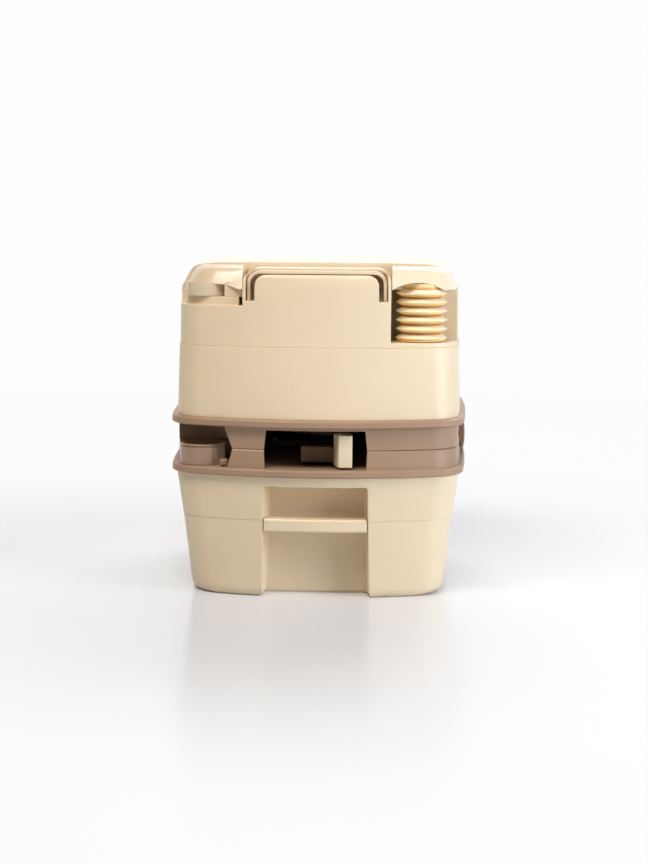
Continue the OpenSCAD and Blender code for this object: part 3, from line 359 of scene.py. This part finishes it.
# Bellows: rounded soft folds between the pump's foot and its cap
bellowsLook = {
    "folds": 6, "pitch": 0.0107, "lowTip": 0.0045, "tipRadius": 0.0316, "rootRadius": 0.0232,
    "wall": 0.0014, "steps": 12, "turns": 96, "fullness": 1.08, "corner": 60, "travel": 0.028,
    # The lip that stands on the foot, and the heights over it and under the cap between which folds run
    "lip": [(-0.003, 0), (-0.001, 0.0012)], "foldStart": 0.002, "foldEnd": 0.0008,
    # The top bead grips the ring inside the pump cap
    "beadRadius": 0.0256, "beadFlare": 0.0003, "beadLow": 0.0006, "beadHigh": 0.0075,
    # Painted shade and light from one groove up to the next: dark painted shade in the root, warm painted shade
    # on the underside, pale painted light on the upper side
    "paintedFoldShading": [(0.0, linear(192, 122, 48)), (0.08, linear(226, 162, 84)), (0.28, linear(252, 212, 146)),
             (0.50, linear(255, 236, 192)), (0.84, linear(255, 244, 212)), (0.97, linear(228, 164, 88))],
    "cloudColor": linear(232, 184, 120), "cloudMost": 0.12, "stainColor": linear(160, 110, 60),
    "stainMost": 0.08, "cloudScale": 60, "stainScale": 150, "grainScale": 700, "cloudRange": (0.3, 0.8),
    "stainRange": (0.55, 0.8), "rough": 0.34, "stainRough": 0.2, "cloudRough": 0.1, "grain": 0.4,
    "bump": 0.2, "bumpDeep": 0.0003, "specular": 0.4, "soft": 0.2, "softRadius": (0.006, 0.003, 0.0012)}
bellowsLow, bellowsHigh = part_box("bellows")
bellowsAxis = (bellowsLow + bellowsHigh) / 2
firstGroove = bellowsLow.z + bellowsLook["lowTip"] - bellowsLook["pitch"] / 2


def bellowsMaterial(look):
    graph = newGraph("bellowsRubber")
    folds = (graph.axis(2) - firstGroove) / look["pitch"]
    along = graph.node("ShaderNodeMath", {"operation": "FRACT"}, [folds])
    cloud = graph.noise(look["cloudScale"])
    stain = graph.between(graph.noise(look["stainScale"], 4, 0.65), *look["stainRange"])
    # The fold ramp paints shade into the grooves and undersides and light onto the upper sides, by height
    # within each fold
    base = graph.node("ShaderNodeValToRGB", {"stops": look["paintedFoldShading"]}, [along])
    base = graph.mix(graph.between(cloud, *look["cloudRange"]) * look["cloudMost"], base, look["cloudColor"])
    base = graph.mix(stain * look["stainMost"], base, look["stainColor"])
    height = graph.noise(look["grainScale"]) * look["grain"] + cloud
    return graph.principled({
        "Base Color": base, "Normal": graph.bump(look["bump"], look["bumpDeep"], height),
        "Roughness": look["rough"] + stain * look["stainRough"] + cloud * look["cloudRough"],
        "Specular IOR Level": look["specular"], "Subsurface Weight": look["soft"],
        "Subsurface Radius": look["softRadius"], "Subsurface Scale": 1.0})


def buildBellows(bm):
    look = bellowsLook
    low, high, steps = bellowsLow.z, bellowsHigh.z, look["steps"]
    outline = [(look["tipRadius"] + out, low + up) for out, up in look["lip"]]
    for index in range(look["folds"] * steps + 1):
        depth = abs(2 * (index % steps) / steps - 1) ** look["fullness"]
        radius = look["tipRadius"] - (look["tipRadius"] - look["rootRadius"]) * depth
        height = firstGroove + look["pitch"] * index / steps
        if low + look["foldStart"] < height < high - look["foldEnd"]:
            outline.append((radius, height))
    outline.append((look["beadRadius"] + look["beadFlare"], high + look["beadLow"]))
    outline.append((look["beadRadius"], high + look["beadHigh"]))
    inner = [(radius - look["wall"], height) for radius, height in outline[::-1]]
    ring = [bm.verts.new((bellowsAxis.x + radius, bellowsAxis.y, height)) for radius, height in outline + inner]
    edges = [bm.edges.new((ring[i - 1], ring[i])) for i in range(len(ring))]
    bmesh.ops.spin(bm, geom=ring + edges, cent=bellowsAxis, axis=(0, 0, 1), angle=2 * math.pi,
                   steps=look["turns"], use_merge=True)


bellows = newPiece("softBellows", "body", buildBellows, bellowsMaterial(bellowsLook),
                   bellowsLook["corner"])
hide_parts("bellows")
1 - bellowsLook["travel"] / (bellowsHigh.z - bellowsLow.z)
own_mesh(bellows)
print("stage: bellows")

# End webs of the side latches: they close the space between a latch and the band beside it.
# The outline is seen from the front: distance from the middle, and height
webLook = {"thick": 0.002, "inset": 0.001, "outline": [
    (0.1783, 0.1705), (0.1812, 0.1705), (0.1822, 0.1740), (0.1828, 0.1855), (0.1822, 0.1950),
    (0.1816, 0.2032), (0.1783, 0.2032)]}


def latchWebs(name, body, side):
    low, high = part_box(name)

    def build(bm):
        for start in (low.y + webLook["inset"], high.y - webLook["inset"] - webLook["thick"]):
            face = bm.faces.new([bm.verts.new((side * across, start, up)) for across, up in webLook["outline"]])
            made = bmesh.ops.extrude_face_region(bm, geom=[face])
            moved = [part for part in made["geom"] if isinstance(part, bmesh.types.BMVert)]
            bmesh.ops.translate(bm, vec=(0, webLook["thick"], 0), verts=moved)

    return newPiece(name + "_webs", body, build, materials["brownMoulding"])


# Rib on the tank's shelf, between the filler and the front block; the filler cap closes over it
ribLook = {
    "left": -0.1110, "right": -0.0886, "front": -0.1745, "thick": 0.002, "foot": 0.3661, "high": 0.3835}


def buildRib(bm):
    low = Vector((ribLook["left"], ribLook["front"], ribLook["foot"]))
    high = Vector((ribLook["right"], ribLook["front"] + ribLook["thick"], ribLook["high"]))
    bmesh.ops.create_cube(bm, size=1)
    bmesh.ops.scale(bm, vec=high - low, verts=bm.verts[:])
    bmesh.ops.translate(bm, vec=(low + high) / 2, verts=bm.verts[:])


newPiece("filler_rib", "body", buildRib, materials["creamShell"])
latchWebs("latch_right", "latch_right_part", 1)
latchWebs("latch_left", "latch_left_part", -1)
print("stage: latch webs and filler rib")

# Studio: a pale floor, a white backdrop and soft lamps
studio = {
    "floorColor": (0.69, 0.705, 0.73, 1), "floorGlow": 0.06, "floorRough": 0.16, "floorRoughSwing": 0.08,
    "floorSpecular": 0.7, "cloudScale": 0.8, "cloudMost": 0.2, "cloudShade": 0.99,
    "floorBack": 1.96, "floorFront": -3.0, "floorSide": 3.0, "backdropHigh": 2.4,
    # Distances from the object between which the floor fades to white
    "fadeRange": (0.40, 0.95), "fadeMost": 0.88, "seenColor": (0.985, 0.985, 0.99, 1), "mirrored": 0.1,
    "fill": 0.06, "fillColor": (1.0, 0.97, 0.93, 1)}


def floorMaterial(look):
    # Seen or mirrored, the floor is a little whiter and fades to white away from the object;
    # none of that lights the object
    graph = newGraph("studioFloor")
    cloud = graph.noise(look["cloudScale"], 2)
    seen = graph.shown("Is Camera Ray", "Is Glossy Ray", "Is Transmission Ray")
    away = graph.node("ShaderNodeVectorMath", {"operation": "LENGTH"}, {0: graph.place()}, "Value")
    fade = graph.between(away, *look["fadeRange"]) * look["fadeMost"] * seen
    near = graph.node("ShaderNodeBsdfPrincipled", {}, {
        "Base Color": graph.mix(cloud * look["cloudMost"], look["floorColor"],
                                scaled(look["floorColor"], look["cloudShade"])),
        "Roughness": look["floorRough"] + cloud * look["floorRoughSwing"],
        "Specular IOR Level": look["floorSpecular"], "Emission Strength": 1.0,
        "Emission Color": graph.mix(seen, (0, 0, 0, 1), scaled((1, 1, 1, 1), look["floorGlow"]))})
    far = graph.node("ShaderNodeEmission", {}, {"Color": look["seenColor"], "Strength": 1.0})
    return graph.finish(graph.node("ShaderNodeMixShader", {}, [fade, near, far]))


def backdropMaterial(look):
    # White in mirrored and refracted rays alone, so that glossy tops show the background
    graph = newGraph("studioBackdrop")
    mirrored = graph.shown("Is Glossy Ray", "Is Transmission Ray")
    card = graph.node("ShaderNodeEmission", {}, {"Color": look["seenColor"], "Strength": 1.0})
    clear = graph.node("ShaderNodeBsdfTransparent", {}, {})
    return graph.finish(graph.node("ShaderNodeMixShader", {}, [mirrored, clear, card]))


def studioWorld(look):
    # White for the camera and through clear pieces, and in part for mirrored rays
    graph = Graph(bpy.data.worlds.new("studio"))
    direct = graph.shown("Is Camera Ray", "Is Transmission Ray")
    white = direct + graph.shown("Is Glossy Ray") * look["mirrored"]
    fill = graph.node("ShaderNodeBackground", {}, {"Color": look["fillColor"], "Strength": look["fill"]})
    seen = graph.node("ShaderNodeBackground", {}, {"Color": look["seenColor"], "Strength": 1.0})
    return graph.finish(graph.node("ShaderNodeMixShader", {}, [white, fill, seen]))


def studioSheet(name, turn, low, high, place, material):
    bm = bmesh.new()
    bmesh.ops.create_grid(bm, x_segments=1, y_segments=1, size=1)
    bmesh.ops.scale(bm, vec=(studio["floorSide"], (high - low) / 2, 1), verts=bm.verts[:])
    bmesh.ops.translate(bm, vec=(0, (high + low) / 2, 0), verts=bm.verts[:])
    turned = Matrix.Rotation(math.radians(turn), 3, "X")
    bmesh.ops.rotate(bm, cent=(0, 0, 0), matrix=turned, verts=bm.verts[:])
    bmesh.ops.translate(bm, vec=place, verts=bm.verts[:])
    mesh = bpy.data.meshes.new(name)
    bm.to_mesh(mesh)
    bm.free()
    mesh.materials.append(material)
    sheet = bpy.data.objects.new(name, mesh)
    bpy.context.scene.collection.objects.link(sheet)
    return sheet


floorPiece = studioSheet("studioFloor", 0, studio["floorFront"], studio["floorBack"], (0, 0, 0),
                         floorMaterial(studio))
backdropPiece = studioSheet("studioBackdrop", 90, 0, studio["backdropHigh"], (0, studio["floorBack"], 0),
                            backdropMaterial(studio))
bpy.context.scene.world = studioWorld(studio)

lamps = {
    "keyRight": {
        "place": (1.9, -1.0, 0.75), "target": (0, 0, 0.2), "wide": 1.2, "high": 1.3,
        "watts": 38.5, "color": (0.79, 0.875, 1.0)},
    "topFront": {
        "place": (-0.5, -1.2, 2.25), "target": (0, -0.1, 0.2), "wide": 1.6, "high": 0.8,
        "watts": 47, "color": (1.0, 0.955, 0.895)},
    "behind": {
        "place": (0.3, 1.8, 1.9), "target": (0, 0, 0.2), "wide": 1.8, "high": 1.0,
        "watts": 40, "color": (0.99, 0.99, 1.0)},
}
for name, look in lamps.items():
    lampData = bpy.data.lights.new(name, "AREA")
    lampData.shape = "RECTANGLE"
    lampData.size = look["wide"]
    lampData.size_y = look["high"]
    lampData.energy = look["watts"]
    lampData.color = look["color"]
    lamp = bpy.data.objects.new(name, lampData)
    bpy.context.scene.collection.objects.link(lamp)
    lamp.location = look["place"]
    lamp.rotation_euler = (Vector(look["target"]) - Vector(look["place"])).to_track_quat("-Z", "Y").to_euler()

# Angles in degrees; lens and sensor in millimetres
camera = {
    "place": (0.0924, -2.205, 0.486), "pitch": -7.9, "yaw": 2.343, "roll": 0.4, "lens": 70.83, "sensor": 36}
cameraData = bpy.data.cameras.new("photoCamera")
cameraData.lens = camera["lens"]
cameraData.sensor_width = camera["sensor"]
cameraObject = bpy.data.objects.new("photoCamera", cameraData)
bpy.context.scene.collection.objects.link(cameraObject)
cameraObject.location = camera["place"]
cameraTurn = Matrix.Rotation(math.radians(camera["yaw"]), 3, "Z")
cameraTurn = cameraTurn @ Matrix.Rotation(math.radians(90 + camera["pitch"]), 3, "X")
cameraTurn = cameraTurn @ Matrix.Rotation(math.radians(camera["roll"]), 3, "Z")
cameraObject.rotation_euler = cameraTurn.to_euler()
bpy.context.scene.camera = cameraObject
bpy.context.scene.view_settings.view_transform = "Standard"
print("stage: studio and camera")
